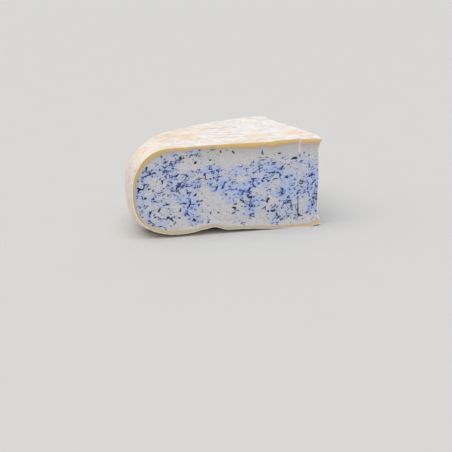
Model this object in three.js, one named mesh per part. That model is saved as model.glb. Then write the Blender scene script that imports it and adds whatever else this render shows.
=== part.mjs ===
// A quarter of a flat wheel of blue cheese, cut from the centre to the rim.
// Millimetres, +Z up. The front cut faces -Y and the second cut faces +X; both meet in the
// upright edge that was the wheel's axis. The origin is under the middle of the wedge.

import * as THREE from "three";
import { mergeVertices } from "three/addons/utils/BufferGeometryUtils.js";

// The wheel
const wheelRadius = 175;
const wheelHeight = 79.5;
const domeRise = 1; // how much thicker the wheel is at its centre
const domeReach = 100; // the radius where the top has fallen to wheelHeight
const wedgeAngle = Math.PI / 2;

// The rounded heel: how far each shoulder reaches in from the rim, and how full its curve is
// (0.55 is a quarter of an ellipse, 1 a square corner)
const beltHeight = 44;
const upperShoulder = { reach: 36, fullness: 0.55 };
const lowerShoulder = { reach: 35, fullness: 0.74 };

// The cuts: the paste sinks a little between the firmer edges of the rind
const recess = 2.1;
const recessMargin = 9;
const cutWave = 0.35;

// The rind: slow waves left by the drying mat, and two swells and a hollow of the top, each at
// a distance from the tip and a share of the quarter turn, with its reach both ways
const rindWave = 0.3;
const swells = [
  { at: 50, reach: 24, round: 1, spread: 0.35, rise: 1.2 },
  { at: 155, reach: 34, round: 1, spread: 0.15, rise: 2 },
  { at: 150, reach: 40, round: 0.66, spread: 0.32, rise: -1.3 },
];

// The tip is worn a little at its top and bottom
const tipWear = 1.7;
const tipReach = 13;

// The underside is flat, but for its front edge: a low arch with a dent in it, and the lower
// corner of the heel worn away
const archRise = 2.75;
const archSpan = { from: 25, to: 142 };
const dentRise = 3.8;
const dentAt = 102;
const dentWidth = { inwards: 9, outwards: 21 };
const cornerRise = 5.5;
const cornerFrom = 108;
const frontDepth = 34;

// Facets along the radius, round the rim and up the height
const facets = { radius: 34, rim: 30, height: 20 };

const smooth = (t) => THREE.MathUtils.smoothstep(t, 0, 1);
const bump = (t) => Math.exp(-t * t);

// One rounded shoulder between the belt of the rim and a flat face at height z
function shoulderCurve({ reach, fullness }, z) {
  const pull = (from, to) => from + (to - from) * fullness;
  return new THREE.CubicBezierCurve(
    new THREE.Vector2(wheelRadius, beltHeight),
    new THREE.Vector2(wheelRadius, pull(beltHeight, z)),
    new THREE.Vector2(pull(wheelRadius - reach, wheelRadius), z),
    new THREE.Vector2(wheelRadius - reach, z),
  );
}

const upperCurve = shoulderCurve(upperShoulder, wheelHeight);
const lowerCurve = shoulderCurve(lowerShoulder, 0);

// A flat face at height z from the axis out to the middle of its shoulder, t from 0 to 1
function faceLine(shoulder, curve, z, t) {
  const flat = wheelRadius - shoulder.reach;
  const flatShare = flat / (flat + curve.getLength() / 2);
  if (t < flatShare) return new THREE.Vector2((flat * t) / flatShare, z);
  return curve.getPoint(1 - (0.5 * (t - flatShare)) / (1 - flatShare));
}

// The heel between the middles of the two shoulders, t from 0 at the bottom to 1 at the top
function heelLine(t) {
  return t < 0.5 ? lowerCurve.getPoint(0.5 - t) : upperCurve.getPoint(t - 0.5);
}

// The wheel's half section as a patch blended from its four sides:
// u runs from the axis to the heel, w from the underside to the top
function sectionPoint(u, w) {
  const bottom = faceLine(lowerShoulder, lowerCurve, 0, u);
  const top = faceLine(upperShoulder, upperCurve, wheelHeight, u);
  const heel = heelLine(w);
  const cornerLow = heelLine(0);
  const cornerHigh = heelLine(1);
  const blend = (axis, low, high, heelSide, lowCorner, highCorner) =>
    low * (1 - w) + high * w + axis * (1 - u) + heelSide * u -
    ((1 - u) * axis + u * (lowCorner * (1 - w) + highCorner * w));
  return {
    r: blend(0, bottom.x, top.x, heel.x, cornerLow.x, cornerHigh.x),
    z: blend(wheelHeight * w, bottom.y, top.y, heel.y, cornerLow.y, cornerHigh.y),
  };
}

// How deep the paste has sunk on a cut, from 0 along the rind to the full recess inside it
function sunk(r, z, u, w) {
  const fromRim = ((1 - u) * wheelRadius) / recessMargin;
  const fromTop = ((1 - w) * wheelHeight) / recessMargin;
  const fromBase = (w * wheelHeight) / recessMargin;
  const inside = smooth(fromRim) * smooth(fromTop) * smooth(fromBase);
  return inside * (recess + cutWave * Math.sin(r / 19 + z / 27) * Math.cos(z / 15 - r / 41));
}

// The rise of the underside along the front edge, at a distance r from the tip
function frontRise(r) {
  const along = (r - archSpan.from) / (archSpan.to - archSpan.from);
  const arch = along > 0 && along < 1 ? Math.sin(Math.PI * along) ** 2 : 0;
  const width = r < dentAt ? dentWidth.inwards : dentWidth.outwards;
  const corner = smooth((r - cornerFrom) / (wheelRadius - cornerFrom));
  return archRise * arch + dentRise * bump((r - dentAt) / width) + cornerRise * corner;
}

// Slow waves of the top and the heel, none where the wedge rests
function rindWaves(x, y, z) {
  const aboveBase = smooth(z / wheelHeight);
  return rindWave * aboveBase * (Math.sin(x / 17 + y / 31) + Math.sin(y / 13 - x / 37 + 1.3));
}

// How much the top swells at a distance r from the tip and a turn from the front cut
function topSwell(r, turn) {
  const bell = ({ at, reach, round, spread, rise }) =>
    rise * bump((r - at) / reach) * bump((turn / wedgeAngle - round) / spread);
  return smooth(r / tipReach) * swells.reduce((sum, swell) => sum + bell(swell), 0);
}

// Maps a corner of the unit box (u along the radius, v round the rim, w up) onto the wedge
function wedgePoint(u, v, w) {
  const { r, z } = sectionPoint(u, w);
  const turn = (1 - v) * wedgeAngle;
  let x = -r * Math.cos(turn);
  let y = r * Math.sin(turn);
  const nearFront = 1 - smooth(y / frontDepth);
  const worn = tipWear * (1 - smooth(r / tipReach));
  const lift = worn + frontRise(r) * nearFront;
  const dome = domeRise * (1 - smooth(r / domeReach)) - worn;
  const height = z + rindWaves(x, y, z) +
    (dome + topSwell(r, turn)) * smooth(z / wheelHeight) + lift * (1 - smooth(z / beltHeight));
  if (v === 1) y += sunk(r, z, u, w);
  if (v === 0) x -= sunk(r, z, u, w);
  if (u === 0) {
    x = -sunk(r, z, u, w);
    y = sunk(r, z, u, w);
  }
  return new THREE.Vector3(x, y, height);
}

// Closer facets near the rind's edges than in the middle of a cut
const towardsEnds = (t) => t - (0.55 * Math.sin(2 * Math.PI * t)) / (2 * Math.PI);
const towardsRim = (t) => t + (0.3 * Math.sin(Math.PI * t)) / Math.PI;

// The faces of a box, each corner moved onto the wedge. The side at u = 0 folds flat into the
// upright edge, so the triangles that use one corner twice are left out.
function wedgeGeometry() {
  const box = new THREE.BoxGeometry(1, 1, 1, facets.radius, facets.rim, facets.height);
  const position = box.getAttribute("position");
  const onSide = (value) => Math.round((value + 0.5) * 1e6) / 1e6;
  for (let i = 0; i < position.count; i++) {
    const u = towardsRim(onSide(position.getX(i)));
    const w = towardsEnds(onSide(position.getZ(i)));
    const point = wedgePoint(onSide(u - 0.5), onSide(position.getY(i)), w);
    position.setXYZ(i, point.x, point.y, point.z);
  }
  box.deleteAttribute("normal");
  box.deleteAttribute("uv");
  box.clearGroups();
  const merged = mergeVertices(box, 1e-3);
  const corners = merged.index.array;
  const kept = [];
  for (let i = 0; i < corners.length; i += 3) {
    const [a, b, c] = corners.slice(i, i + 3);
    if (a !== b && b !== c && c !== a) kept.push(a, b, c);
  }
  merged.setIndex(kept);
  merged.computeVertexNormals();
  return merged;
}

const cheese = new THREE.MeshStandardMaterial({
  color: new THREE.Color(0.83, 0.82, 0.8),
  roughness: 0.55,
  metalness: 0,
});

const wedge = new THREE.Mesh(wedgeGeometry(), cheese);
wedge.name = "cheese_wedge";

// Stands the wedge on z = 0, over the middle of its own box
wedge.geometry.computeBoundingBox();
const middle = wedge.geometry.boundingBox.getCenter(new THREE.Vector3());
wedge.position.set(-middle.x, -middle.y, -wedge.geometry.boundingBox.min.z);

const model = new THREE.Group();
model.add(wedge);

export default model;
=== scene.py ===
# A quarter of a flat wheel of blue cheese, cut from its centre to its rim, on a pale table.
# Shapes are worked out in millimetres in the wheel's own frame: its axis is the wedge's tip,
# the front cut lies along -X and the second cut along +Y. They become metres in the packed
# model's frame when a mesh is made.

import math

import bpy
import numpy as np
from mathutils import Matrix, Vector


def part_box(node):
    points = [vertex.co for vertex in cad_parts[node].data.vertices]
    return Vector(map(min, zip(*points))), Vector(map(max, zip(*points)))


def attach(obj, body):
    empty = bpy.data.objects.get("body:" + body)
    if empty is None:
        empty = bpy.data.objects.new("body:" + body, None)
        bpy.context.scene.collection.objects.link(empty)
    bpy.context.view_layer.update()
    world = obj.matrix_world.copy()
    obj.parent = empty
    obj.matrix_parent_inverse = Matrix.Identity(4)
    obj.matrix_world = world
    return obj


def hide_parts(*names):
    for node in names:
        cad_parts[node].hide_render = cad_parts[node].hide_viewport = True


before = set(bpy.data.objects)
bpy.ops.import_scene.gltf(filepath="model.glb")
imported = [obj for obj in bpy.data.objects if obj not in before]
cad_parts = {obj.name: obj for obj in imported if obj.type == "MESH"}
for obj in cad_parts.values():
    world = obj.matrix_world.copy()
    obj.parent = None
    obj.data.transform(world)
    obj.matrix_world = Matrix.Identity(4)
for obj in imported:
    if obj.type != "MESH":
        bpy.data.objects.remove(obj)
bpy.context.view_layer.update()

nodeName = "cheese_wedge"
lowCorner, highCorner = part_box(nodeName)
mm = 0.001
tipPlace = np.array([highCorner[0], lowCorner[1], lowCorner[2]])  # where the wheel's axis stands
print("frame loaded, wedge", [round((highCorner[a] - lowCorner[a]) / mm, 1) for a in range(3)])


# The wheel's form

wheelForm = {
    "radius": (highCorner[0] - lowCorner[0]) / mm,
    "height": 79.5,
    "domeRise": 1.0,  # how much thicker the wheel is at its centre
    "domeReach": 100,
    "beltHeight": 44,  # the height where the heel is widest
    "upperShoulder": {"reach": 36, "fullness": 0.55},
    "lowerShoulder": {"reach": 35, "fullness": 0.74},
    "shoulderSteps": 200,  # for measuring how long a shoulder's curve is
    "rindWave": 0.3,
    "rindWaveRuns": (17, 31, 37, 13),  # mm, and the shift between the two waves
    "rindWaveShift": 1.3,
    "swells": (  # of the top: from the tip, share of the quarter turn, reach both ways, rise
        (50, 1, 24, 0.35, 1.2), (155, 1, 34, 0.15, 2), (150, 0.66, 40, 0.32, -1.3),
    ),
    "tipWear": 1.7,  # how far the tip's top and bottom corners are worn
    "tipReach": 13,
    "archRise": 2.75,  # the low arch under the front edge
    "archSpan": (25, 142),
    "dentRise": 3.8,
    "dentAt": 102,
    "dentWidth": (9, 21),
    "cornerRise": 5.5,  # the worn lower corner of the front edge
    "cornerFrom": 108,
    "frontDepth": 34,
    "recess": 2.1,  # how far the paste has sunk between the edges of the rind
    "recessMargin": 9,
    "cutWave": 0.35,
    "cutWaveRuns": (19, 27, 15, 41),
}


def smooth(t):
    # 3 t^2 - 2 t^3 between 0 and 1, flat outside
    t = np.clip(t, 0, 1)
    return t * t * (3 - 2 * t)


def shoulderCurve(shoulder, z, t):
    # cubic curve from the belt of the rim (t 0) to the flat face at height z (t 1)
    rim, belt = wheelForm["radius"], wheelForm["beltHeight"]
    reach, fullness = shoulder["reach"], shoulder["fullness"]
    corners = [
        (rim, belt),
        (rim, belt + (z - belt) * fullness),
        (rim - reach * (1 - fullness), z),
        (rim - reach, z),
    ]
    weights = [(1 - t) ** 3, 3 * (1 - t) ** 2 * t, 3 * (1 - t) * t**2, t**3]
    return [sum(w * c[axis] for w, c in zip(weights, corners)) for axis in (0, 1)]


def faceLine(shoulder, z, t):
    # flat face from the axis (t 0) to the middle of its shoulder (t 1), at an even pace
    flat = wheelForm["radius"] - shoulder["reach"]
    steps = np.linspace(0, 1, wheelForm["shoulderSteps"] + 1)
    curve = np.stack(shoulderCurve(shoulder, z, steps), -1)
    length = np.linalg.norm(np.diff(curve, axis=0), axis=1).sum()
    share = flat / (flat + length / 2)
    onCurve = shoulderCurve(shoulder, z, 1 - 0.5 * np.clip((t - share) / (1 - share), 0, 1))
    return np.where(t < share, flat * t / share, onCurve[0]), np.where(t < share, z, onCurve[1])


def heelLine(t):
    # the heel between the middles of its two shoulders, from the lower (t 0) to the upper (t 1)
    low = shoulderCurve(wheelForm["lowerShoulder"], 0, np.clip(0.5 - t, 0, 1))
    high = shoulderCurve(wheelForm["upperShoulder"], wheelForm["height"], np.clip(t - 0.5, 0, 1))
    return np.where(t < 0.5, low[0], high[0]), np.where(t < 0.5, low[1], high[1])


def frontRise(r):
    # the underside's rise at its front edge: sin^2 arch + bell-shaped dent + worn corner
    start, end = wheelForm["archSpan"]
    arch = np.sin(math.pi * np.clip((r - start) / (end - start), 0, 1)) ** 2
    width = np.where(r < wheelForm["dentAt"], *wheelForm["dentWidth"])
    dent = np.exp(-(((r - wheelForm["dentAt"]) / width) ** 2))
    corner = smooth((r - wheelForm["cornerFrom"]) / (wheelForm["radius"] - wheelForm["cornerFrom"]))
    return (
        wheelForm["archRise"] * arch
        + wheelForm["dentRise"] * dent
        + wheelForm["cornerRise"] * corner
    )


def topSwell(r, turn):
    # sum of rise * exp(-(distance / reach)^2) along the radius and round the turn
    share = turn / (math.pi / 2)
    total = 0
    for place, shareThere, reach, spread, rise in wheelForm["swells"]:
        far = ((r - place) / reach) ** 2 + ((share - shareThere) / spread) ** 2
        total = total + rise * np.exp(-far)
    return total * smooth(r / wheelForm["tipReach"])


def ontoWheel(r, z, turn):
    # turns a point of the half section about the axis, then lifts it by the dome, the swells
    # and slow waves of the rind, the worn tip and the front edge's rise
    x, y = -r * np.cos(turn), r * np.sin(turn)
    up = smooth(z / wheelForm["height"])
    runX, runY, longX, shortY = wheelForm["rindWaveRuns"]
    second = y / shortY - x / longX + wheelForm["rindWaveShift"]
    waves = np.sin(x / runX + y / runY) + np.sin(second)
    worn = wheelForm["tipWear"] * (1 - smooth(r / wheelForm["tipReach"]))
    dome = wheelForm["domeRise"] * (1 - smooth(r / wheelForm["domeReach"])) - worn + topSwell(r, turn)
    lift = worn + frontRise(r) * (1 - smooth(y / wheelForm["frontDepth"]))
    low = 1 - smooth(z / wheelForm["beltHeight"])
    return np.stack([x, y, z + wheelForm["rindWave"] * up * waves + dome * up + lift * low], -1)


def sunkPaste(r, z, u, w):
    # how deep a cut has sunk: none along the rind, then the full recess with slow waves
    margin = wheelForm["recessMargin"]
    inside = (
        smooth((1 - u) * wheelForm["radius"] / margin)
        * smooth((1 - w) * wheelForm["height"] / margin)
        * smooth(w * wheelForm["height"] / margin)
    )
    runR, runZ, shortZ, longR = wheelForm["cutWaveRuns"]
    waves = np.sin(r / runR + z / runZ) * np.cos(z / shortZ - r / longR)
    return inside * (wheelForm["recess"] + wheelForm["cutWave"] * waves)


# Seeded noise over space

seeds = {  # one for each noise; a set of noises counts up from it by 10 or 20
    "slowBend": 11,
    "drift": 41,
    "gate": 61,
    "hazeDrift": 91,
    "fastBend": 111,
    "needle": 131,
    "waverAlong": 141,
    "waverUp": 151,
    "wrinkles": 201,
    "edgeWave": 221,
    "bandWidth": 301,
    "curd": 321,
    "knife": 331,
    "edgeWear": 341,
}

shuffle = {  # large odd numbers that scatter the bits of a cell's number
    "axes": (374761393, 668265263, 1274126177),
    "seed": 974634777,
    "rounds": ((13, 1103515245), (15, 2246822519)),
    "lastShift": 13,
}


def latticeValue(cells, seed):
    # a steady random number from 0 to 1 for each whole-number cell: its number, mixed by
    # shifts and multiplications within 32 bits, whose last 24 are kept
    n = cells @ np.array(shuffle["axes"]) + seed * shuffle["seed"]
    for shift, factor in shuffle["rounds"]:
        n = ((n ^ (n >> shift)) & 0xFFFFFFFF) * factor & 0xFFFFFFFF
    return ((n ^ (n >> shuffle["lastShift"])) & 0xFFFFFF) / 0x1000000


cubeCorners = np.stack(np.meshgrid([0, 1], [0, 1], [0, 1], indexing="ij"), -1).reshape(-1, 3)
cubeNeighbours = np.stack(np.meshgrid(*[[-1, 0, 1]] * 3, indexing="ij"), -1).reshape(-1, 3)
spotStray = 0.85  # share of its cell over which a spot of grainCells can stray


def softNoise(points, seed):
    # values at the corners of unit cubes, blended by 6 t^5 - 15 t^4 + 10 t^3, from -1 to 1
    base = np.floor(points)
    t = points - base
    t = t**3 * (t * (t * 6 - 15) + 10)
    cells = base.astype(np.int64)
    total = 0
    for corner in cubeCorners:
        weight = np.prod(np.where(corner, t, 1 - t), -1)
        total = total + weight * latticeValue(cells + corner, seed)
    return total * 2 - 1


def layeredNoise(points, seed, layers=2):
    # soft noise, plus the same at half the size and strength, and so on
    strengths = 0.5 ** np.arange(layers)
    parts = [s * softNoise(points / s + 7 * n, seed + n) for n, s in enumerate(strengths)]
    return sum(parts) / strengths.sum()


def grainCells(points, seed):
    # cells round scattered spots: the distance to the nearest spot, and how much farther the
    # second nearest is, which is 0 on the walls between curd grains
    cells = np.floor(points).astype(np.int64)
    nearest = np.full(points.shape[:-1], 9.0)  # farther than any spot
    second = nearest
    for step in cubeNeighbours:
        corner = cells + step
        scatter = np.stack([latticeValue(corner, seed + s) for s in (1, 2, 3)], -1)
        spot = corner + 0.5 + spotStray * (scatter - 0.5)
        distance = np.linalg.norm(points - spot, axis=-1)
        second = np.minimum(second, np.maximum(nearest, distance))
        nearest = np.minimum(nearest, distance)
    return nearest, second - nearest


# The blue mould: where it is rich and where the paste stays clear on each cut, as soft
# ellipses (from the tip, height, reach along, reach up, strength), and single marks that stand
# out (from the tip, height, length, half width, slope in degrees, rising towards the heel).
# Sizes and widths are in mm

mould = {
    "frontRich": [
        (119, 73, 10, 3, 0.6), (45, 52, 9, 6, 0.8), (60, 59, 5, 4, 1), (7, 42, 6, 8, 1.3),
        (8, 21, 5, 6, 1.2), (127, 44, 11, 2.5, 0.9), (102, 55, 8, 4, 1), (93, 43, 7, 5, 1),
        (72, 38, 9, 4, 0.9), (67, 27, 6, 4, 0.35), (123, 28, 6, 7, 0.6), (113, 30, 4, 2.5, 0.5),
        (82, 20, 3, 6, 0.6), (65, 15, 6, 4, 0.7), (44, 11, 6, 7, 1), (51, 27, 4, 4, 0.25),
        (30, 24, 5, 6, 0.6), (38, 34, 6, 4, 0.5), (20, 12, 4, 4, 0.4), (140, 63, 8, 6, 0.8),
        (119, 13, 5, 5, 0.6), (150, 60, 10, 7, 0.35), (151, 12, 6, 4, 0.4), (166, 38, 4, 9, 0.3),
        (140, 51, 9, 5, 0.4), (56, 46, 6, 5, 0.5), (12, 31, 5, 4, 0.5),
    ],
    "frontClear": [
        (125, 61, 5, 4, 1.1), (76, 65, 12, 6, 1.3), (97, 67, 10, 5, 1.1), (98, 28, 11, 8, 1.7),
        (55, 10, 5, 6, 1.1), (43, 40, 4, 3, 0.9), (16, 50, 4, 12, 0.5), (125, 3, 60, 4, 1),
        (30, 72, 28, 5, 1.3), (93, 12, 9, 6, 1.4), (161, 37, 4, 3, 0.8), (110, 37, 5, 4, 0.6),
        (77, 47, 6, 4, 1), (56, 35, 4, 4, 1), (43, 24, 5, 5, 1), (17, 21, 3, 4, 0.5),
        (98, 51, 4, 2.5, 1), (160, 29, 9, 6, 0.7), (133, 24, 4, 3, 0.6), (130, 12, 5, 5, 0.9),
        (14, 9, 5, 2, 1.3), (6, 67, 7, 5, 0.9), (146, 46, 4, 3, 0.8), (60, 1, 70, 3, 1),
        (60, 74, 40, 5, 0.8), (118, 35, 3, 3, 0.5), (146, 35, 4, 3, 0.6), (114, 20, 5, 4, 0.6),
        (147, 40, 20, 26, 0.12), (148, 13, 15, 7, 0.2), (57, 22, 6, 5, 0.5), (33, 8, 5, 5, 0.6),
    ],
    "frontMarks": [
        (67.5, 31, 3.6, 1, 15), (37, 35.2, 2.6, 0.63, 42), (72, 36, 10, 0.4, 14),
        (75, 26.5, 5, 0.4, 36), (64, 42, 5, 0.45, 55), (82, 20.8, 2.4, 0.7, 70),
        (81.5, 25.6, 3, 0.63, 10), (50.8, 26.8, 4, 0.73, -45), (65, 22.6, 2, 0.73, 0),
        (54, 20, 3.4, 0.54, -33), (45.5, 16.7, 4, 0.45, 5), (41.5, 12, 4, 0.63, 65),
        (30, 24, 2.4, 0.7, 0), (18.3, 10.3, 2.4, 0.81, 10), (19.3, 39.2, 3, 0.54, 8),
        (7.5, 22, 6, 0.45, 38), (168.5, 43.5, 1.4, 1, 30), (155.2, 41.8, 1.6, 0.81, 55),
        (155, 34.5, 1.8, 0.73, 0), (153.3, 18.8, 4, 0.54, -25), (140.3, 16.3, 7, 0.54, 50),
        (142.5, 29.3, 2, 0.73, 0), (118.5, 13.2, 2.2, 0.9, 35), (123, 26.8, 3.6, 0.73, -60),
        (130.3, 29.2, 2, 0.45, 0), (118, 36, 1.4, 0.81, -20), (134, 43, 5, 0.63, -42),
        (125, 44, 9, 0.45, -4), (83.5, 71.2, 1, 0.9, 60), (55.5, 68.3, 2, 0.54, 0),
        (39.5, 68, 1.2, 0.9, 0), (20, 65.3, 0.6, 0.73, 90), (10.5, 65.3, 0.4, 0.73, 0),
        (25.5, 62.6, 2.6, 0.9, 8), (104.5, 66, 0.6, 0.81, 0), (95, 71.6, 1.4, 0.73, 60),
        (130, 69.4, 1.2, 0.9, 10), (117.7, 64.4, 1.6, 0.9, -60), (161.5, 61.8, 1.4, 0.73, 90),
        (169.3, 51.8, 0.5, 0.81, 90), (102.5, 74.8, 2.6, 0.45, 0), (114, 74.8, 2, 0.63, 20),
        (152.4, 63.4, 3, 0.45, -25), (154, 57, 1.6, 0.73, 30), (144, 57.2, 3.5, 0.45, -35),
        (143.5, 66.8, 1.2, 0.73, 0), (138.5, 63.5, 2.5, 0.54, 80), (137.5, 59.8, 2.5, 0.63, 20),
        (134.5, 54.2, 5, 0.54, -10), (125.6, 53.7, 3, 0.45, 10), (149.3, 52, 1.5, 0.63, -60),
        (147.8, 49, 2, 0.63, -45), (140.8, 48, 4, 0.45, 20), (138, 41.2, 4, 0.45, 0),
        (162, 48.3, 1.6, 0.63, 0), (150.5, 40.5, 4, 0.45, 0), (165, 36.5, 5, 0.36, 70),
        (162.2, 27.8, 1.4, 0.63, 0), (158.6, 22.9, 1.6, 0.63, 20), (149.8, 25, 2, 0.54, -60),
        (145.5, 28, 1.5, 0.54, 0), (137, 25, 1.2, 0.63, 80), (132.8, 16.8, 2.2, 0.54, 25),
        (149.5, 10.5, 4, 0.54, 0), (157.5, 14.5, 2, 0.54, 60), (146, 37.5, 3, 0.45, -25),
        (135, 36, 4, 0.45, 35), (124, 37.5, 2, 0.73, 0), (115, 15.8, 1.2, 0.73, 0),
        (121, 9.7, 3, 0.45, 30), (113.5, 30, 6, 0.45, 0), (109.5, 52.5, 3, 0.45, 70),
        (113, 49.7, 9, 0.36, 0), (8, 46.5, 3, 0.54, 15), (5.5, 40.3, 4, 0.54, -15),
        (3.6, 37, 1.5, 0.54, 70), (11.8, 31, 1.2, 0.73, 0), (16.5, 30.4, 4, 0.45, 0),
        (6.5, 19.6, 1, 0.81, 0), (5, 25.5, 1, 0.63, 0), (105, 16.5, 5, 0.2, -25),
        (97.5, 19, 3, 0.2, 10), (96, 26, 2, 0.25, 0), (102.5, 33.5, 3, 0.2, 40),
        (89.5, 33.5, 2, 0.2, -30), (92, 21.5, 1.5, 0.2, 50),
    ],
    "sideRich": [
        (7, 43, 6, 9, 0.8), (7, 24, 4, 6, 0.6), (38, 36, 12, 6, 0.7), (84, 47, 14, 5, 0.9),
        (126, 30, 10, 7, 0.6), (60, 17, 7, 5, 0.7), (150, 48, 8, 9, 0.5), (104, 65, 9, 4, 0.6),
    ],
    "sideClear": [
        (30, 68, 24, 6, 1.2), (68, 62, 10, 7, 0.9), (108, 12, 20, 6, 1), (52, 44, 6, 5, 0.7),
        (140, 67, 10, 5, 0.9), (24, 12, 10, 5, 0.8), (104, 38, 7, 5, 0.9), (61, 46, 3, 3, 1.2),
        (22, 34, 4, 4, 0.8), (142, 20, 7, 5, 0.8), (78, 31, 7, 4, 0.8), (124, 50, 6, 4, 0.8),
    ],
    "sideMarks": [
        (32, 69, 1, 1.2, 30), (76, 70, 2, 0.8, 0), (122, 66, 1.2, 1, 60), (146, 33, 3, 0.9, -30),
        (92, 27, 5, 0.7, 20), (47, 27, 4, 0.8, -40), (20, 52, 3, 0.7, 15),
    ],
    "zoneStrength": 0.36,
    "zoneRagged": 4,  # how far the edges of these places wander
    "mostMould": 0.2,
    "drift": 0.2,  # how much the mould varies by itself, and over what distance
    "driftSize": 11,
    "slowBend": (7, (2.6, 2.6, 2)),  # over what distance the nets are bent, and how far each way
    "fastBend": (2, (0.9, 0.9, 0.75)),
    "nets": [  # the walls of curd grains and of crumbs, both pressed flat, and scattered spots
        {"size": (6, 6, 4.2), "halfWidth": 0.22, "ease": 0.08, "fade": 0.5, "seed": 3, "shift": 0},
        {"size": (3.7, 3.7, 2.6), "halfWidth": 0.24, "ease": 0, "fade": 0.45, "seed": 5, "shift": 31},
        {"size": (3.3, 3.3, 2.3), "halfWidth": 0.4, "ease": 0, "fade": 0.6, "seed": 9, "shift": 67},
    ],
    "wallScale": 0.43,  # from the cells' own measure to mm, for a wall and for a spot
    "spotScale": 0.78,
    "gateSize": (2.8, 2.8, 1.8),  # of the noise that opens and closes the veins
    "gateShift": 50,  # between the three nets
    "closing": 0.5,  # half width that every vein gives up, so that the weak ones close
    "waver": 1.1,  # how far the single marks waver, and over what distance
    "waverSize": 2.2,
    "rimGap": 1.2,  # no mould this near to the band under the rind
    "rimClearing": 1.2,
    "pitDepth": 0.55,  # of the veins, reached this far inside them
    "pitFull": 0.5,
}

hazeSpread = {  # the blue that has spread into the paste
    "front": [  # further than the veins tell, as soft ellipses too
        (99, 38, 9, 5, 0.6), (122, 27, 8, 7, 0.6), (88, 27, 5, 6, 0.6), (60, 25, 9, 6, 0.15),
        (117, 13, 8, 6, 0.3), (68, 37, 8, 5, 0.4),
    ],
    "side": [(70, 30, 14, 8, 0.4), (128, 52, 12, 7, 0.3)],
    "heights": (12, 36, 52, 72),  # it spreads most between the middle two
    "atMiddle": 0.2,
    "base": 0.03,
    "withMould": 1.6,
    "drift": 0.3,
    "driftSize": (10, 10, 7),
    "reach": 1.7,  # mm from a vein, and the share that is left farther out
    "beyond": 0.15,
    "from": -0.4,  # the spread where it starts to show, and how much more makes it full
    "over": 1.1,
    "rimFade": 3,
    "atRim": 0.3,
}

needle = {
    "front": [(21.4, 8, 29, 0.65)],  # from the tip, bottom, top and half width of each groove
    "frontPale": [(21, 67, 84, 0.8), (11, 3, 18, 0.4)],
    "side": [(58, 24, 47, 0.45)],
    "sidePale": [(58, 70, 84, 0.5), (133, 2, 12, 0.4)],
    "wobble": 0.4,
    "wobbleSize": 5,
    "paleFade": 0.6,  # mm over which a pale groove fades in, and how far it has at its edge
    "paleAtEdge": 0.6,
    "thinning": 0.5,  # share of its width that a groove has lost at its top
    "ends": (0.1, 0.3),  # shares of its length over which its bottom and top run out
}

farOutside = -3.0  # mm, where no mark is near


def zoneSum(r, z, zones):
    # sum of strength * exp(-(distance / reach)^2) over the ellipses
    r0, z0, reachR, reachZ, strength = np.array(zones).T
    far = ((r[..., None] - r0) / reachR) ** 2 + ((z[..., None] - z0) / reachZ) ** 2
    return (strength * np.exp(-far)).sum(-1)


def needleLines(r, z, lines, points):
    # half width less the distance to an upright line that wobbles, thinning towards its top
    inside = np.full(r.shape, farOutside)
    wander = needle["wobble"] * softNoise(points / needle["wobbleSize"], seeds["needle"])
    bottomEnd, topEnd = needle["ends"]
    for place, low, high, halfWidth in lines:
        up = (z - low) / (high - low)
        width = halfWidth * (1 - needle["thinning"] * up)
        width = width * smooth(up / bottomEnd) * smooth((1 - up) / topEnd)
        outside = np.maximum(low - z, z - high).clip(0)
        inside = np.maximum(inside, width - np.hypot(r - place + wander, outside))
    return inside


def markField(r, z, marks, points):
    # half width less the distance to the nearest of some short strokes, which all waver
    r = r + mould["waver"] * softNoise(points / mould["waverSize"], seeds["waverAlong"])
    z = z + mould["waver"] * softNoise(points / mould["waverSize"], seeds["waverUp"])
    inside = np.full(r.shape, farOutside)
    for place, height, length, halfWidth, slope in marks:
        turn = math.radians(slope)
        along = (r - place) * math.cos(turn) + (z - height) * math.sin(turn)
        across = (z - height) * math.cos(turn) - (r - place) * math.sin(turn)
        beyond = (np.abs(along) - length / 2).clip(0)
        inside = np.maximum(inside, halfWidth - np.hypot(across, beyond))
    return inside


def netField(bent, points, amount, number):
    # half width of the veins on one net, less the distance to its walls or, for the last net,
    # to its spots. Noise and the local mould open them, from closed to full width
    net = mould["nets"][number]
    nearest, wall = grainCells((bent + net["shift"]) / net["size"], net["seed"])
    onSpots = number == len(mould["nets"]) - 1
    gap = nearest * mould["spotScale"] if onSpots else wall * mould["wallScale"]
    gatePlace = (points + mould["gateShift"] * number) / mould["gateSize"]
    gate = layeredNoise(gatePlace, seeds["gate"] + 10 * number)
    opened = smooth((gate + amount + net["ease"]) / net["fade"])
    closing = mould["closing"]
    return (net["halfWidth"] + closing) * opened - gap * net["size"][0] - closing


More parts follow.
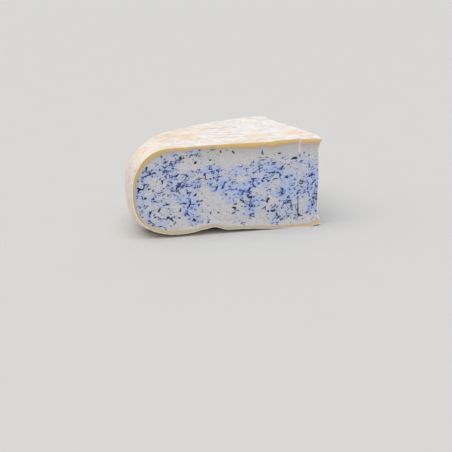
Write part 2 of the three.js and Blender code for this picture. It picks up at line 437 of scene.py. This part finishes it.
def mouldFields(points, r, side, bandGap):
    # vein: how far inside a vein a point is, in mm, less than 0 outside it. A vein follows one
    # of the nets, or is a single mark
    # haze: how much blue has spread into the paste, most round the veins
    (slowSize, slowReach), (fastSize, fastReach) = mould["slowBend"], mould["fastBend"]
    slow = [layeredNoise(points / slowSize, seeds["slowBend"] + 20 * axis) for axis in range(3)]
    fast = [softNoise(points / fastSize, seeds["fastBend"] + 20 * axis) for axis in range(3)]
    slow, fast = np.stack(slow, -1), np.stack(fast, -1)
    bent = points + slow * slowReach + fast * fastReach
    z = points[..., 2]
    raggedR, raggedZ = r + mould["zoneRagged"] * slow[..., 0], z + mould["zoneRagged"] * slow[..., 2]
    zones = zoneSum(raggedR, raggedZ, mould[side + "Rich"])
    zones = zones - zoneSum(raggedR, raggedZ, mould[side + "Clear"])
    amount = mould["zoneStrength"] * zones
    amount = amount + mould["drift"] * layeredNoise(points / mould["driftSize"], seeds["drift"])
    low, lowMiddle, highMiddle, high = hazeSpread["heights"]
    middle = smooth((z - low) / (lowMiddle - low)) - smooth((z - highMiddle) / (high - highMiddle))
    spread = hazeSpread["base"] + hazeSpread["withMould"] * amount + hazeSpread["atMiddle"] * middle
    hazeDrift = layeredNoise(points / hazeSpread["driftSize"], seeds["hazeDrift"])
    spread = spread + hazeSpread["drift"] * hazeDrift
    spread = spread + zoneSum(raggedR, raggedZ, hazeSpread[side])
    amount = np.minimum(amount, mould["mostMould"])
    amount = amount - mould["rimClearing"] * (1 - smooth(bandGap / mould["rimGap"]))
    nets = [netField(bent, points, amount, number) for number in range(len(mould["nets"]))]
    vein = np.maximum.reduce([*nets, markField(r, z, mould[side + "Marks"], points)])
    near = smooth(1 + vein / hazeSpread["reach"])
    haze = hazeSpread["beyond"] + (1 - hazeSpread["beyond"]) * near
    haze = haze * smooth((spread - hazeSpread["from"]) / hazeSpread["over"])
    haze = haze * smooth(bandGap / hazeSpread["rimFade"] + hazeSpread["atRim"])
    return vein, haze


# The band under the rind: width in mm and warmth by the distance along the rind from the
# tip, over the top, down the heel and back under the base

rindBand = {
    "distance": (0, 20, 45, 70, 95, 120, 145, 170, 190, 205, 222, 250, 290, 335, 360, 386),
    "width": (8, 8.5, 9.5, 9, 6.5, 5.5, 8, 8.8, 6.2, 4.3, 5, 5.5, 4.4, 3.8, 4, 5),
    "warmth": (0.8, 0.9, 1, 1, 0.85, 0.7, 0.9, 0.95, 0.8, 0.5, 0.5, 0.3, 0.1, 0.1, 0.2, 0.5),
    "olive": (0, 0, 0.2, 0, 0, 0.1, 0.5, 0.8, 1, 1, 1, 0.8, 0.5, 0.4, 0.2, 0),
    "ragged": 0.25,  # share by which the width varies, and over what distance
    "raggedSize": 9,
    "clearShare": 0.55,  # of the width, which the mould keeps out of
}

pasteGrey = {  # heights, distances from the tip and shares
    "topFrom": 60,
    "topFade": 14,
    "heelFrom": 105,
    "heelFade": 25,
    "heelLoss": 0.6,
    "base": 0.7,
    "baseFade": 15,
}

meshDetail = {"radius": 248, "height": 112, "rim": 136}  # faces along each direction
searchBlocks = 40  # parts in which the points of a cut look for the nearest edge

surfaceRelief = {
    "rindSizes": (9, 3.6),  # mm, of the rind's wrinkles
    "rindDepths": (0.45, 0.26),
    "edgeWave": 0.5,  # the top's edge rises and falls a little along the cuts
    "edgeWaveSize": 13,
    "edgeWaveHeights": (50, 70),  # none below the first, all of it above the second
    "edgeReach": 14,
    "smoothTip": {"edgeWave": 12, "wrinkles": 8, "edgeWear": 2},  # none at the very tip
    "smoothBase": 6,  # no wrinkles where the wedge stands
    "edgeWear": {"front": 0.4, "side": 0.8},  # the rind's crumbly edges at the two cuts
    "edgeWearReach": 0.8,
    "edgeWearVaries": 0.4,
    "edgeWearSize": 3,
    "cutMargin": 3,  # no curd or knife marks along the rind
    "curdSize": 6,
    "curdDepth": 0.18,
    "knifeSize": (14, 14, 1.6),  # faint drag lines of the knife
    "knifeDepth": 0.1,
}


def rindGrid(turns):
    # points of the rind for each turn (rows) along the path top, heel, base (columns), pushed
    # in by wrinkles, and how strong the peach patches are: sum of strength * exp(-distance^2)
    u = np.linspace(0, 1, meshDetail["radius"] + 1)
    w = np.linspace(0, 1, meshDetail["height"] + 1)
    top = faceLine(wheelForm["upperShoulder"], wheelForm["height"], u)
    heel = [line[::-1] for line in heelLine(w)]
    base = [line[::-1] for line in faceLine(wheelForm["lowerShoulder"], 0.0, u)]
    r, z = [np.concatenate([a, b[1:], c[1:]]) for a, b, c in zip(top, heel, base)]
    points = ontoWheel(r[None], z[None], turns[:, None])
    toCut = r * np.minimum(turns, math.pi / 2 - turns)[:, None] / surfaceRelief["edgeReach"]
    wave = softNoise(points / surfaceRelief["edgeWaveSize"], seeds["edgeWave"])
    wave = wave * (1 - smooth(toCut))
    low, high = surfaceRelief["edgeWaveHeights"]
    wave = wave * smooth((points[..., 2] - low) / (high - low))
    wave = wave * smooth(r / surfaceRelief["smoothTip"]["edgeWave"])
    points[..., 2] += surfaceRelief["edgeWave"] * wave
    around, along = np.gradient(points, axis=0), np.gradient(points, axis=1)
    out = np.cross(around, along)
    out[0, :, 1] = 0  # the edges stay in the planes of the cuts
    out[-1, :, 0] = 0
    out /= np.maximum(np.linalg.norm(out, axis=-1, keepdims=True), 1e-9)
    wrinkles = 0
    for n, (size, depth) in enumerate(zip(surfaceRelief["rindSizes"], surfaceRelief["rindDepths"])):
        noise = layeredNoise(points / size, seeds["wrinkles"] + 10 * n)
        wrinkles = wrinkles + depth * (0.5 + 0.5 * noise)
    wrinkles = wrinkles * smooth(r / surfaceRelief["smoothTip"]["wrinkles"])
    wrinkles = wrinkles * smooth(points[..., 2] / surfaceRelief["smoothBase"])
    tint = 0
    for x, y, z, reachX, reachY, reachZ, strength in rindLook["peachPlaces"]:
        far = ((points - (x, y, z)) / (reachX, reachY, reachZ)) ** 2
        tint = tint + strength * np.exp(-far.sum(-1))
    return points - out * wrinkles[..., None], tint


def greyness(r, z):
    # the paste is greyer under the top, less so towards the heel, and greyer along the base
    under = smooth((z - pasteGrey["topFrom"]) / pasteGrey["topFade"])
    heelwards = smooth((r - pasteGrey["heelFrom"]) / pasteGrey["heelFade"])
    low = pasteGrey["base"] * (1 - smooth(z / pasteGrey["baseFade"]))
    return (under * (1 - pasteGrey["heelLoss"] * heelwards) + low).clip(0, 1)


def cutSheet(edge, toSpace, side):
    # a cut face as a patch blended from its four sides: the tip's upright edge, and the top,
    # heel and base of the rind's edge (r, height), then pushed in by the relief
    nR, nH = meshDetail["radius"], meshDetail["height"]
    u, w = np.linspace(0, 1, nR + 1)[:, None, None], np.linspace(0, 1, nH + 1)[None, :, None]
    top, heel, base = edge[: nR + 1], edge[nR : nR + nH + 1][::-1], edge[nR + nH :][::-1]
    tip = base[0] + (top[0] - base[0]) * w[0]
    sides = base[:, None] * (1 - w) + top[:, None] * w + tip[None] * (1 - u) + heel[None] * u
    corners = (1 - u) * ((1 - w) * base[0] + w * top[0]) + u * ((1 - w) * base[-1] + w * top[-1])
    flat = sides - corners
    r, z = flat[..., 0], flat[..., 1]
    gap, nearest = nearestEdge(flat.reshape(-1, 2), edge)
    gap, nearest = gap.reshape(r.shape), nearest.reshape(r.shape)
    length = np.concatenate([[0], np.cumsum(np.linalg.norm(np.diff(edge, axis=0), axis=1))])
    along = length[nearest]
    width = np.interp(along, rindBand["distance"], rindBand["width"])
    onLine = np.stack([along / rindBand["raggedSize"], 0 * along, 0 * along], -1)
    width = width * (1 + rindBand["ragged"] * layeredNoise(onLine, seeds["bandWidth"]))
    points = toSpace(r, z, 0 * r)
    vein, haze = mouldFields(points, r, side, gap - rindBand["clearShare"] * width)
    vein = np.maximum(vein, needleLines(r, z, needle[side], points))
    pale = needleLines(r, z, needle[side + "Pale"], points) / needle["paleFade"]
    pale = smooth(pale + needle["paleAtEdge"])
    relief = sunkPaste(r, z, u[..., 0], w[..., 0])
    inside = smooth(gap / surfaceRelief["cutMargin"])
    curd = layeredNoise(points / surfaceRelief["curdSize"], seeds["curd"])
    drag = softNoise(points / surfaceRelief["knifeSize"], seeds["knife"])
    relief = relief + inside * surfaceRelief["curdDepth"] * curd
    relief = relief + inside * surfaceRelief["knifeDepth"] * drag
    relief = relief + mould["pitDepth"] * smooth(vein / mould["pitFull"])
    varies = surfaceRelief["edgeWearVaries"]
    noise = softNoise(points / surfaceRelief["edgeWearSize"], seeds["edgeWear"])
    ragged = 1 - varies + varies * noise
    atEdge = 1 - smooth(gap / surfaceRelief["edgeWearReach"])
    wear = surfaceRelief["edgeWear"][side] * ragged * atEdge
    relief = relief + wear * smooth(r / surfaceRelief["smoothTip"]["edgeWear"])
    fields = {
        "vein": vein,
        "haze": haze,
        "pale": pale,
        "grey": greyness(r, z),
        "olive": np.interp(along, rindBand["distance"], rindBand["olive"]),
        "rindGap": gap,
        "band": 1 - smooth(gap / width),
        "bandWarmth": np.interp(along, rindBand["distance"], rindBand["warmth"]),
        # distance from the tip, which sets where the paste's shader paints a highlight along the
        # tip's edge
        "tipGap": r,
    }
    return toSpace(r, z, relief), fields


def nearestEdge(points, edge):
    # distance to the nearest point of the rind's edge, and its number, a block at a time
    gaps, numbers = [], []
    for block in np.array_split(points, searchBlocks):
        distance = ((block[:, None] - edge[None]) ** 2).sum(-1)
        numbers.append(distance.argmin(1))
        gaps.append(np.sqrt(distance.min(1)))
    return np.concatenate(gaps), np.concatenate(numbers)


def frontSpace(r, z, inward):
    # front cut: along -X, pushed in towards +Y; near the tip it is also drawn along its own
    # plane, by a share that falls from 1 to 0, to the line where the two sunk cuts meet
    return np.stack([-r - inward * (1 - r / wheelForm["tipReach"]).clip(0), inward, z], -1)


def sideSpace(r, z, inward):
    # second cut: along +Y, pushed in towards -X, and drawn to the same line at the tip
    return np.stack([-inward, r + inward * (1 - r / wheelForm["tipReach"]).clip(0), z], -1)


def quadGrid(numbers):
    # faces of a grid of vertex numbers, first down the rows, then along the columns
    near, far = numbers[:-1], numbers[1:]
    return np.stack([near[:, :-1], far[:, :-1], far[:, 1:], near[:, 1:]], -1).reshape(-1, 4)


def zipRows(fine, coarse, fineFirst):
    # triangles between a row and one with half as many faces beside it
    a, b, c = fine[:-2:2], fine[1::2], fine[2::2]
    d, e = coarse[:-1], coarse[1:]
    if fineFirst:
        triangles = [(a, d, b), (d, e, b), (b, e, c)]
    else:
        triangles = [(d, a, b), (d, b, e), (e, b, c)]
    return np.concatenate([np.stack(t, -1) for t in triangles])


valuesOnRind = {"band": 1.0, "vein": -1.0}  # of the cuts' fields; the others are 0 there


def buildWedge():
    # the two cut sheets and the rind's grid, joined on shared vertices into one closed surface
    nR, nH, nV = meshDetail["radius"], meshDetail["height"], meshDetail["rim"]
    rind, tint = rindGrid(np.linspace(0, math.pi / 2, nV + 1))
    frontEdge = np.stack([-rind[0, :, 0], rind[0, :, 2]], -1)
    sideEdge = np.stack([rind[-1, :, 1], rind[-1, :, 2]], -1)
    front, frontFields = cutSheet(frontEdge, frontSpace, "front")
    side, sideFields = cutSheet(sideEdge, sideSpace, "side")
    skin = rind[1:-1, 2:-2:2]

    points = np.concatenate([front.reshape(-1, 3), side[1:].reshape(-1, 3), skin.reshape(-1, 3)])
    frontNumbers = np.arange((nR + 1) * (nH + 1)).reshape(nR + 1, nH + 1)
    sideNumbers = frontNumbers + nR * (nH + 1)
    sideNumbers[0] = frontNumbers[0]
    first = frontNumbers.size + nR * (nH + 1)
    skinNumbers = first + np.arange(skin.shape[0] * skin.shape[1]).reshape(skin.shape[:2])
    poles = np.ones((len(skinNumbers), 1), int)
    skinNumbers = np.hstack([poles * frontNumbers[0, -1], skinNumbers, poles * frontNumbers[0, 0]])

    edges = []
    for numbers in (frontNumbers, sideNumbers):
        edges.append(np.concatenate([numbers[:, -1], numbers[-1, -2::-1], numbers[-2::-1, 0]]))
    quads = [quadGrid(frontNumbers)[:, ::-1], quadGrid(sideNumbers), quadGrid(skinNumbers[:, 1:-1])]
    triangles = [
        zipRows(edges[0], skinNumbers[0], True),
        zipRows(edges[1], skinNumbers[-1], False),
        np.stack([skinNumbers[:-1, 0], skinNumbers[1:, 1], skinNumbers[:-1, 1]], -1),
        np.stack([skinNumbers[:-1, -2], skinNumbers[1:, -2], skinNumbers[1:, -1]], -1),
    ]
    triangles = np.concatenate(triangles)
    folded = (triangles == np.roll(triangles, 1, axis=1)).any(1)  # the rows meet at the tip
    triangles = triangles[~folded]
    cutQuads = len(quads[0]) + len(quads[1])
    quads = np.concatenate(quads)

    mesh = bpy.data.meshes.new("cheese")
    mesh.from_pydata((points * mm + tipPlace).tolist(), [], quads.tolist() + triangles.tolist())
    onRind = np.arange(len(mesh.polygons)) >= cutQuads
    mesh.polygons.foreach_set("material_index", onRind.astype(np.int32))
    mesh.polygons.foreach_set("use_smooth", np.ones(len(onRind), bool))
    for name, onFront in frontFields.items():
        values = np.full(len(points), valuesOnRind.get(name, 0.0))
        values[:first] = np.concatenate([onFront.ravel(), sideFields[name][1:].ravel()])
        attribute = mesh.attributes.new(name, "FLOAT", "POINT")
        attribute.data.foreach_set("value", values)
    tints = np.zeros(len(points))
    tints[edges[0]], tints[edges[1]] = tint[0], tint[-1]
    tints[skinNumbers[:, 1:-1]] = tint[1:-1, 2:-2:2]
    mesh.attributes.new("peach", "FLOAT", "POINT").data.foreach_set("value", tints)
    markSharp(mesh, np.concatenate([*edges, frontNumbers[0]]))
    mesh.validate()
    mesh.update()
    wedge = bpy.data.objects.new("cheese", mesh)
    bpy.context.scene.collection.objects.link(wedge)
    return wedge


def markSharp(mesh, numbers):
    # the edges whose two ends are both among these vertices stay crisp
    ends = np.empty(len(mesh.edges) * 2, np.int32)
    mesh.edges.foreach_get("vertices", ends)
    chosen = np.zeros(len(mesh.vertices), bool)
    chosen[numbers] = True
    sharp = chosen[ends.reshape(-1, 2)].all(1)
    mesh.attributes.new("sharp_edge", "BOOLEAN", "EDGE").data.foreach_set("value", sharp)


# Materials. Each look holds its colours, its noises (size in mm, layers of detail, shift and
# stretch along the axes), the fades (where something starts to show and where it is full),
# the shares by which things are mixed, and the depths of its bumps in mm


def displayColour(red, green, blue):
    # a colour as picked on the screen, 0 to 255, made linear
    values = np.array([red, green, blue]) / 255
    linear = np.where(values < 0.04045, values / 12.92, ((values + 0.055) / 1.055) ** 2.4)
    return (*linear.tolist(), 1.0)


def addNode(tree, kind, inputs=None, **settings):
    # one shader node; its inputs are values, or sockets to link
    node = tree.nodes.new(kind)
    for name, value in settings.items():
        setattr(node, name, value)
    for name, value in (inputs or {}).items():
        if isinstance(value, bpy.types.NodeSocket):
            tree.links.new(value, node.inputs[name])
        else:
            node.inputs[name].default_value = value
    return node


def readField(tree, name):
    # one of the values that the mesh carries at its vertices
    return addNode(tree, "ShaderNodeAttribute", attribute_name=name).outputs["Fac"]


def noiseField(tree, size, detail, shift=0.0, stretch=(1, 1, 1)):
    # noise from 0 to 1 with features of a size in mm, stretched along the axes
    place = addNode(tree, "ShaderNodeTexCoord").outputs["Object"]
    scale = [1 / (mm * size * factor) for factor in stretch]
    moved = addNode(tree, "ShaderNodeMapping", {0: place, 1: (shift, shift, shift), 3: scale})
    return addNode(
        tree, "ShaderNodeTexNoise", {"Vector": moved.outputs[0], "Scale": 1.0, "Detail": detail}
    ).outputs["Fac"]


def ramped(tree, value, low, high):
    # 0 below low, 1 above high, smooth between
    node = addNode(
        tree,
        "ShaderNodeMapRange",
        {"Value": value, "From Min": low, "From Max": high},
        interpolation_type="SMOOTHSTEP",
    )
    return node.outputs["Result"]


def worked(tree, operation, first, second):
    # one step of arithmetic on two values
    node = addNode(tree, "ShaderNodeMath", {0: first, 1: second}, operation=operation)
    return node.outputs[0]


def scaled(tree, value, factor):
    # the value times the factor
    return worked(tree, "MULTIPLY", value, factor)


def mixed(tree, amount, first, second):
    # the first colour where the amount is 0, the second where it is 1
    node = addNode(tree, "ShaderNodeMix", {0: amount, 6: first, 7: second}, data_type="RGBA")
    return node.outputs[2]


def bumped(tree, height, depth, normal=None):
    # the normal tilted by the slope of a height, which stands depth mm out where it is 1
    inputs = {"Height": height, "Distance": depth * mm, "Strength": 1.0}
    if normal is not None:
        inputs["Normal"] = normal
    return addNode(tree, "ShaderNodeBump", inputs).outputs["Normal"]


def newMaterial(name, **settings):
    # an empty material with one shader; the settings are the shader's inputs
    material = bpy.data.materials.new(name)
    material.use_nodes = True
    tree = material.node_tree
    tree.nodes.clear()
    shader = addNode(tree, "ShaderNodeBsdfPrincipled", settings)
    output = addNode(tree, "ShaderNodeOutputMaterial")
    tree.links.new(shader.outputs[0], output.inputs["Surface"])
    return material, tree, shader


pasteLook = {
    "colours": {
        "cream": (228, 224, 221),
        "blueGrey": (207, 212, 231),
        "shade": (181, 184, 195),
        "warmGrey": (200, 195, 191),
        "haze": (177, 199, 252),
        "stain": (104, 132, 204),
        "veinBlue": (68, 86, 146),
        "vein": (36, 45, 86),
        "veinGrey": (98, 103, 101),
        "veinCore": (16, 22, 36),
        "bandWarm": (252, 206, 126),
        "bandOlive": (232, 204, 120),
        "bandPale": (204, 183, 156),
        # the rind's own white edge on the cuts, and also the painted highlight along the tip's edge
        "rindWhiteAndTipHighlight": (255, 250, 242),
        "pale": (242, 225, 236),
    },
    "noises": {
        "curd": (4.5, 4),
        "fine": (2.2, 2, 3),
        "mottle": (1.7, 3, 43),
        "fray": (0.8, 2),
        "veinTint": (3.4, 2, 23),
        # breaks up the painted highlight along the tip's edge
        "tip": (5, 3, 53),
        "grain": (1.1, 3, 5),
    },
    "fades": {
        "curd": (0.36, 0.64),
        "tinge": (0, 0.45),
        "mottle": (0.3, 0.7),
        "mist": (0.28, 1.05),
        "stain": (-0.5, 0),  # mm inside a vein, as for the vein and its core
        "stainHaze": (0.1, 0.6),
        "vein": (-0.1, 0.1),
        "core": (0.25, 0.5),
        "veinTint": (0.32, 0.54),
        "bandPale": (0, 0.6),
        "bandWarm": (0.3, 0.9),
        "rindEdge": (1.1, 0.6),  # mm from the rind
        # where the painted highlight along the tip's edge is broken up, and how near the tip it is
        # painted
        "tip": (0.3, 0.6),
        "tipHighlight": (1.3, 0.4),  # mm from the tip
    },
    "shares": {
        "curdTinge": 0.7,
        "lessTinge": 0.3,
        "mottle": 0.5,
        "grey": 0.75,
        "mist": 0.6,
        "mistOnCurd": 0.5,
        "stain": 0.4,
        "dullVein": 0.7,
        "veinFray": 0.6,
        "bandFray": 0.3,
        "edgeFray": 0.5,
        "dryVein": 0.2,
    },
    "bumps": {"grain": 0.16, "vein": 0.12},
    "roughness": (0.42, 0.6),
}


def makePaste():
    # curd tones, blue haze, veins, the band under the rind, the rind's own edge and a painted
    # highlight along the tip
    material, tree, shader = newMaterial("blueVeinedPaste")
    tone = {name: displayColour(*colour) for name, colour in pasteLook["colours"].items()}
    noise = {name: noiseField(tree, *recipe) for name, recipe in pasteLook["noises"].items()}
    fade, share, bump = pasteLook["fades"], pasteLook["shares"], pasteLook["bumps"]
    haze, grey = readField(tree, "haze"), readField(tree, "grey")

    curd = ramped(tree, noise["curd"], *fade["curd"])
    tinge = ramped(tree, haze, *fade["tinge"])
    tinge = worked(tree, "ADD", tinge, scaled(tree, curd, share["curdTinge"]))
    tinge = worked(tree, "SUBTRACT", tinge, share["lessTinge"])
    colour = mixed(tree, tinge, tone["cream"], tone["blueGrey"])
    mottle = scaled(tree, ramped(tree, noise["mottle"], *fade["mottle"]), share["mottle"])
    colour = mixed(tree, mottle, colour, tone["shade"])
    colour = mixed(tree, scaled(tree, grey, share["grey"]), colour, tone["warmGrey"])
    mist = worked(tree, "ADD", scaled(tree, curd, share["mistOnCurd"]), share["mist"])
    mist = worked(tree, "MULTIPLY", ramped(tree, haze, *fade["mist"]), mist)
    colour = mixed(tree, mist, colour, tone["haze"])

    fray = worked(tree, "SUBTRACT", noise["fray"], 0.5)
    vein = worked(tree, "ADD", readField(tree, "vein"), scaled(tree, fray, share["veinFray"]))
    stain = ramped(tree, vein, *fade["stain"])
    stain = worked(tree, "MULTIPLY", stain, ramped(tree, haze, *fade["stainHaze"]))
    colour = mixed(tree, scaled(tree, stain, share["stain"]), colour, tone["stain"])
    inVein = ramped(tree, vein, *fade["vein"])
    darkness = ramped(tree, noise["veinTint"], *fade["veinTint"])
    veinTone = mixed(tree, darkness, tone["veinBlue"], tone["vein"])
    veinTone = mixed(tree, scaled(tree, grey, share["dullVein"]), veinTone, tone["veinGrey"])
    colour = mixed(tree, inVein, colour, veinTone)
    core = worked(tree, "MULTIPLY", ramped(tree, vein, *fade["core"]), darkness)
    colour = mixed(tree, core, colour, tone["veinCore"])

    band = worked(tree, "ADD", readField(tree, "band"), scaled(tree, fray, share["bandFray"]))
    colour = mixed(tree, ramped(tree, band, *fade["bandPale"]), colour, tone["bandPale"])
    warm = ramped(tree, band, *fade["bandWarm"])
    warm = worked(tree, "MULTIPLY", warm, readField(tree, "bandWarmth"))
    ochre = mixed(tree, readField(tree, "olive"), tone["bandWarm"], tone["bandOlive"])
    colour = mixed(tree, warm, colour, ochre)
    gap = scaled(tree, noise["fine"], share["edgeFray"])
    gap = worked(tree, "ADD", readField(tree, "rindGap"), gap)
    colour = mixed(tree, ramped(tree, gap, *fade["rindEdge"]), colour, tone["rindWhiteAndTipHighlight"])
    colour = mixed(tree, readField(tree, "pale"), colour, tone["pale"])
    # painted highlight: a bright line along the tip's edge in the rind's white, broken up by noise
    tip = ramped(tree, readField(tree, "tipGap"), *fade["tipHighlight"])
    tip = worked(tree, "MULTIPLY", ramped(tree, noise["tip"], *fade["tip"]), tip)
    colour = mixed(tree, tip, colour, tone["rindWhiteAndTipHighlight"])
    tree.links.new(colour, shader.inputs["Base Color"])

    low, high = pasteLook["roughness"]
    rough = worked(tree, "ADD", scaled(tree, noise["fine"], high - low), low)
    rough = worked(tree, "ADD", rough, scaled(tree, inVein, share["dryVein"]))
    tree.links.new(rough, shader.inputs["Roughness"])
    normal = bumped(tree, noise["grain"], bump["grain"])
    normal = bumped(tree, scaled(tree, inVein, -1.0), bump["vein"], normal)
    tree.links.new(normal, shader.inputs["Normal"])
    return material


rindLook = {
    "colours": {
        "bloom": (255, 250, 244),
        "blush": (247, 234, 225),
        "peach": (252, 226, 190),
        # painted shade on the heel, which the overhead light reaches less than the top
        "heel": (220, 203, 194),
        "tan": (214, 196, 182),
        "pit": (200, 180, 168),
        "speck": (150, 132, 140),
    },
    "peachPlaces": [  # x, y, height, reach along each, strength
        (-120, 55, 79, 22, 26, 12, 0.9), (-44, 35, 80, 26, 12, 12, 0.6),
        (-152, 30, 62, 15, 40, 14, 1), (-170, 8, 30, 14, 22, 16, 0.5),
        (-84, 100, 79, 30, 12, 12, 0.5), (-70, 150, 60, 22, 16, 14, 0.6),
        (-20, 160, 50, 20, 20, 16, 0.5), (-120, 120, 40, 18, 18, 14, 0.5),
        (-90, 60, 0, 30, 26, 12, 0.6), (-30, 110, 0, 20, 28, 12, 0.5),
        (-80, 6, 80, 42, 7, 12, 0.45), (-152, 6, 72, 20, 14, 12, 0.5), (-12, 30, 80, 10, 30, 12, 0.5),
    ],
    "noises": {
        "blush": (10, 5, 2, (1.4, 1, 1)),
        "cloud": (14, 4, 7, (1.6, 1, 1)),
        "streaks": (4, 5, 11, (2, 1, 1)),  # along the top, where the wheel was turned on its mat
        "mottle": (5.2, 5, 31),
        "powder": (1.2, 4, 13),
        "pits": (1.9, 2, 37, (1.5, 1, 1)),
        "specks": (3.2, 1, 17, (1.6, 1, 1)),
    },
    "fades": {
        "blush": (0.4, 0.64),
        "peach": (0.9, 1.9),
        "worn": (0.35, 0.6),
        "tan": (0.62, 0.8),
        "dust": (0.46, 0.7),
        "pits": (0.66, 0.76),
        "specks": (0.75, 0.82),
    },
    "shares": {
        # how much painted shade darkens the heel
        "heel": 0.6,
        "cloudInPeach": 1.8,
        "powderInTan": 0.25,
        "worn": 0.55,
        "leastWorn": 0.35,
        "dust": 0.45,
        "pits": 0.6,
        "specks": 0.6,
    },
    # also where the heel's painted shade gives way to the lit top
    "topFrom": (58, 74),  # the heights over which the heel's mottle turns into streaks
    "bumps": {"relief": 0.8, "powder": 0.3},
    "roughness": (0.72, 0.95),
}


def makeRind():
    # dry bloom with pink blush, painted shade on the heel, peach patches, tan streaks on top,
    # tan mottle round the heel, shallow darker pits and a few specks
    material, tree, shader = newMaterial("bloomyRind")
    tone = {name: displayColour(*colour) for name, colour in rindLook["colours"].items()}
    noise = {name: noiseField(tree, *recipe) for name, recipe in rindLook["noises"].items()}
    fade, share, bump = rindLook["fades"], rindLook["shares"], rindLook["bumps"]
    place = addNode(tree, "ShaderNodeTexCoord").outputs["Object"]
    height = addNode(tree, "ShaderNodeSeparateXYZ", {0: place}).outputs["Z"]
    onTop = ramped(tree, height, *[z * mm for z in rindLook["topFrom"]])

    blush = ramped(tree, noise["blush"], *fade["blush"])
    colour = mixed(tree, blush, tone["bloom"], tone["blush"])
    # painted shade: the heel, off the top, is darkened because the light falls from above
    aside = worked(tree, "SUBTRACT", 1.0, onTop)
    colour = mixed(tree, scaled(tree, aside, share["heel"]), colour, tone["heel"])
    peach = scaled(tree, noise["cloud"], share["cloudInPeach"])
    peach = worked(tree, "ADD", readField(tree, "peach"), peach)
    colour = mixed(tree, ramped(tree, peach, *fade["peach"]), colour, tone["peach"])
    inputs = {0: onTop, 2: noise["mottle"], 3: noise["streaks"]}
    relief = addNode(tree, "ShaderNodeMix", inputs).outputs[0]
    uneven = worked(tree, "ADD", relief, scaled(tree, noise["powder"], share["powderInTan"]))
    worn = scaled(tree, ramped(tree, noise["cloud"], *fade["worn"]), share["worn"])
    worn = worked(tree, "ADD", worn, share["leastWorn"])
    thin = worked(tree, "MULTIPLY", ramped(tree, uneven, *fade["tan"]), worn)
    colour = mixed(tree, thin, colour, tone["tan"])
    dust = scaled(tree, ramped(tree, noise["powder"], *fade["dust"]), share["dust"])
    colour = mixed(tree, dust, colour, tone["bloom"])
    pits = ramped(tree, noise["pits"], *fade["pits"])
    colour = mixed(tree, scaled(tree, pits, share["pits"]), colour, tone["pit"])
    specks = scaled(tree, ramped(tree, noise["specks"], *fade["specks"]), share["specks"])
    colour = mixed(tree, specks, colour, tone["speck"])
    tree.links.new(colour, shader.inputs["Base Color"])

    low, high = rindLook["roughness"]
    rough = worked(tree, "ADD", scaled(tree, noise["powder"], high - low), low)
    tree.links.new(rough, shader.inputs["Roughness"])
    normal = bumped(tree, relief, bump["relief"])
    normal = bumped(tree, worked(tree, "SUBTRACT", noise["powder"], pits), bump["powder"], normal)
    tree.links.new(normal, shader.inputs["Normal"])
    return material


wedge = buildWedge()
wedge.data.materials.append(makePaste())
wedge.data.materials.append(makeRind())
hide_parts(nodeName)
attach(wedge, "root")
print("cheese made,", len(wedge.data.vertices), "vertices,", len(wedge.data.polygons), "faces")


# The table, the lights and the camera

studio = {
    "tableSize": 40.0,
    "tableColour": (222, 220, 216),
    "tableNoise": (60, 3),
    "tableMottle": 0.06,
    "worldColour": (244, 246, 250),
    "worldStrength": 0.6,
    "skyFrom": (-0.35, -0.2, 1.0),  # where the soft overhead light comes from
    "skyStrength": 1.42,
    "skyAngle": 70,  # degrees across, so that the shadows are soft
}


def makeTable():
    # a plane at the height where the wedge stands, with a faint mottle
    half = studio["tableSize"] / 2
    mesh = bpy.data.meshes.new("table")
    corners = [(-half, -half, 0), (half, -half, 0), (half, half, 0), (-half, half, 0)]
    mesh.from_pydata(corners, [], [(0, 1, 2, 3)])
    table = bpy.data.objects.new("table", mesh)
    bpy.context.scene.collection.objects.link(table)
    material, tree, shader = newMaterial("paleTable", Roughness=0.7)
    tone = displayColour(*studio["tableColour"])
    mottle = scaled(tree, noiseField(tree, *studio["tableNoise"]), studio["tableMottle"])
    colour = mixed(tree, mottle, tone, (0.5, 0.5, 0.5, 1))  # a middle grey
    tree.links.new(colour, shader.inputs["Base Color"])
    mesh.materials.append(material)


def makeLights():
    # one soft light from overhead, tilted by atan2(distance aside, height) and turned to face
    # where it comes from, and an even pale world around
    light = bpy.data.lights.new("overhead", "SUN")
    light.energy, light.angle = studio["skyStrength"], math.radians(studio["skyAngle"])
    lamp = bpy.data.objects.new("overhead", light)
    x, y, z = studio["skyFrom"]
    lamp.rotation_euler = (math.atan2(math.hypot(x, y), z), 0, math.atan2(x, -y))
    bpy.context.scene.collection.objects.link(lamp)
    world = bpy.data.worlds.new("studio")
    world.use_nodes = True
    background = world.node_tree.nodes["Background"]
    background.inputs["Color"].default_value = displayColour(*studio["worldColour"])
    background.inputs["Strength"].default_value = studio["worldStrength"]
    bpy.context.scene.world = world
    bpy.context.scene.view_settings.view_transform = "Standard"


view = {
    "place": (-0.3603, -1.0946, 0.2565),
    "yaw": 19.54,  # degrees to the right of +Y
    "pitch": 13.16,  # degrees down
    "lens": 100.0,
    "sensor": 36.0,
}


def makeCamera():
    # level at 90 degrees of tilt, less the pitch, and turned right by the yaw
    camera = bpy.data.cameras.new("camera")
    camera.lens, camera.sensor_width = view["lens"], view["sensor"]
    holder = bpy.data.objects.new("camera", camera)
    holder.location = view["place"]
    holder.rotation_euler = (math.radians(90 - view["pitch"]), 0, math.radians(-view["yaw"]))
    bpy.context.scene.collection.objects.link(holder)
    bpy.context.scene.camera = holder


makeTable()
makeLights()
makeCamera()
print("table, lights and camera made")
